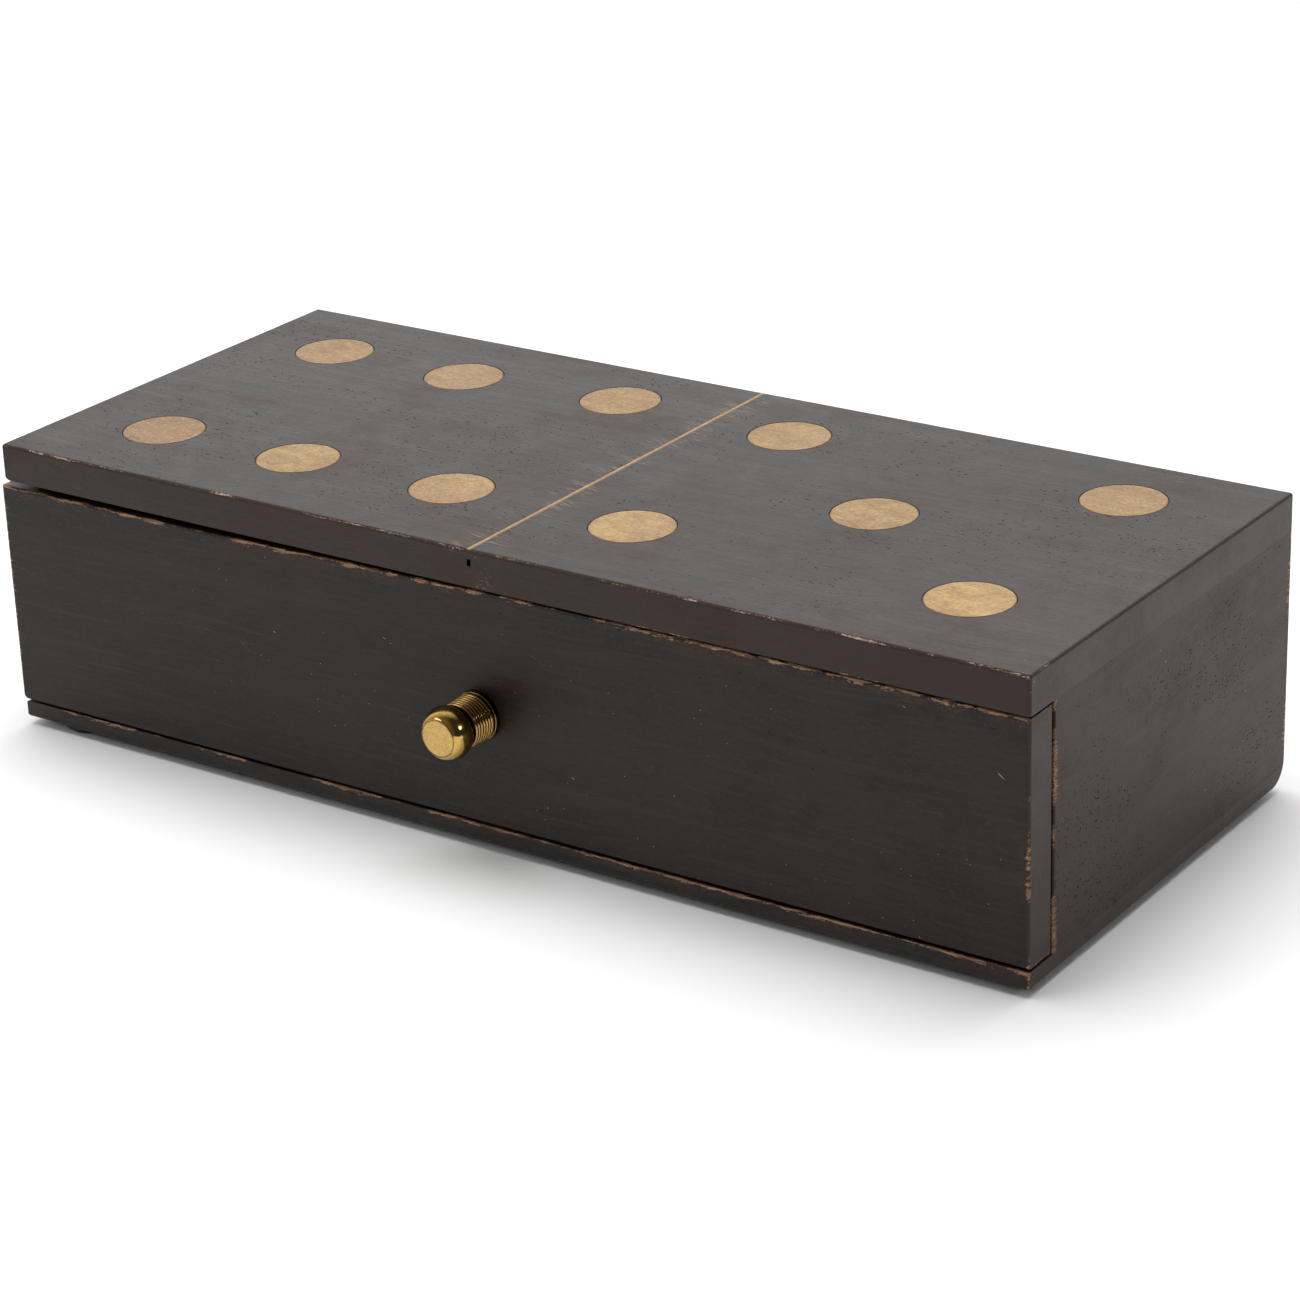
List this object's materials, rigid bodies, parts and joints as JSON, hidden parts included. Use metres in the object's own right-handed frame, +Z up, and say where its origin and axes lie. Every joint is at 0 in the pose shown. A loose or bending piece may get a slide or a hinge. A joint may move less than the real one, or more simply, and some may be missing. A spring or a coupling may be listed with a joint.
{
  "type": "domino drawer box",
  "caption": "Dark wooden box shaped like a domino, with brass pips set in its top, a full-width drawer with a turned brass knob, and a set of wooden dominoes inside.",
  "frame": {"origin": "centre of the whole footprint, knob included, on the surface that the feet stand on", "axes": "+X along the box to the right as seen from the drawer's side, +Y from the drawer's side to the back, +Z up"},
  "size_m": [0.2812, 0.1352, 0.073],
  "materials": {
    "case_wood": "near-black brown stain under a thin satin wax, worn to orange-brown along the edges",
    "drawer_wood": "unstained mango wood, wiped with thin brown stain",
    "domino_wood": "dark stained and waxed",
    "inlay_brass": "sanded flush, aged and matte",
    "knob_brass": "turned and polished, brushed front face",
    "zinc_steel": "zinc plated",
    "foot_rubber": "matte"
  },
  "bodies": {
    "case": {"top_board": "case_wood", "bottom_board": "case_wood", "side_board_left": "case_wood", "side_board_right": "case_wood", "back_board": "case_wood", "divider_strip": "inlay_brass", "pip_five_back_left": "inlay_brass", "pip_five_back_right": "inlay_brass", "pip_five_centre": "inlay_brass", "pip_five_front_left": "inlay_brass", "pip_five_front_right": "inlay_brass", "pip_six_back_left": "inlay_brass", "pip_six_back_middle": "inlay_brass", "pip_six_back_right": "inlay_brass", "pip_six_front_left": "inlay_brass", "pip_six_front_middle": "inlay_brass", "pip_six_front_right": "inlay_brass", "foot_back_left": "foot_rubber", "foot_back_right": "foot_rubber", "foot_front_left": "foot_rubber", "foot_front_right": "foot_rubber"},
    "drawer": {"drawer_front": "case_wood", "drawer_side_left": "drawer_wood", "drawer_side_right": "drawer_wood", "drawer_back": "drawer_wood", "drawer_base": "drawer_wood", "knob": "knob_brass", "knob_washer": "zinc_steel", "knob_screw": "zinc_steel", "domino_0_0": "domino_wood", "domino_0_1": "domino_wood", "domino_0_2": "domino_wood", "domino_0_3": "domino_wood", "domino_0_4": "domino_wood", "domino_0_5": "domino_wood", "domino_0_6": "domino_wood", "domino_1_1": "domino_wood", "domino_1_2": "domino_wood", "domino_1_3": "domino_wood", "domino_1_4": "domino_wood", "domino_1_5": "domino_wood", "domino_1_6": "domino_wood", "domino_2_2": "domino_wood", "domino_2_3": "domino_wood", "domino_2_4": "domino_wood", "domino_2_5": "domino_wood", "domino_2_6": "domino_wood", "domino_3_3": "domino_wood", "domino_3_4": "domino_wood", "domino_3_5": "domino_wood", "domino_3_6": "domino_wood", "domino_4_4": "domino_wood", "domino_4_5": "domino_wood", "domino_4_6": "domino_wood", "domino_5_5": "domino_wood", "domino_5_6": "domino_wood", "domino_6_6": "domino_wood", "domino_pips": "inlay_brass", "domino_centre_lines": "inlay_brass"}
  },
  "joints": [
    {"name": "drawer_slide", "type": "slide", "parent": "case", "child": "drawer", "axis": [0, -1, 0], "range_m": [0, 0.085]}
  ]
}
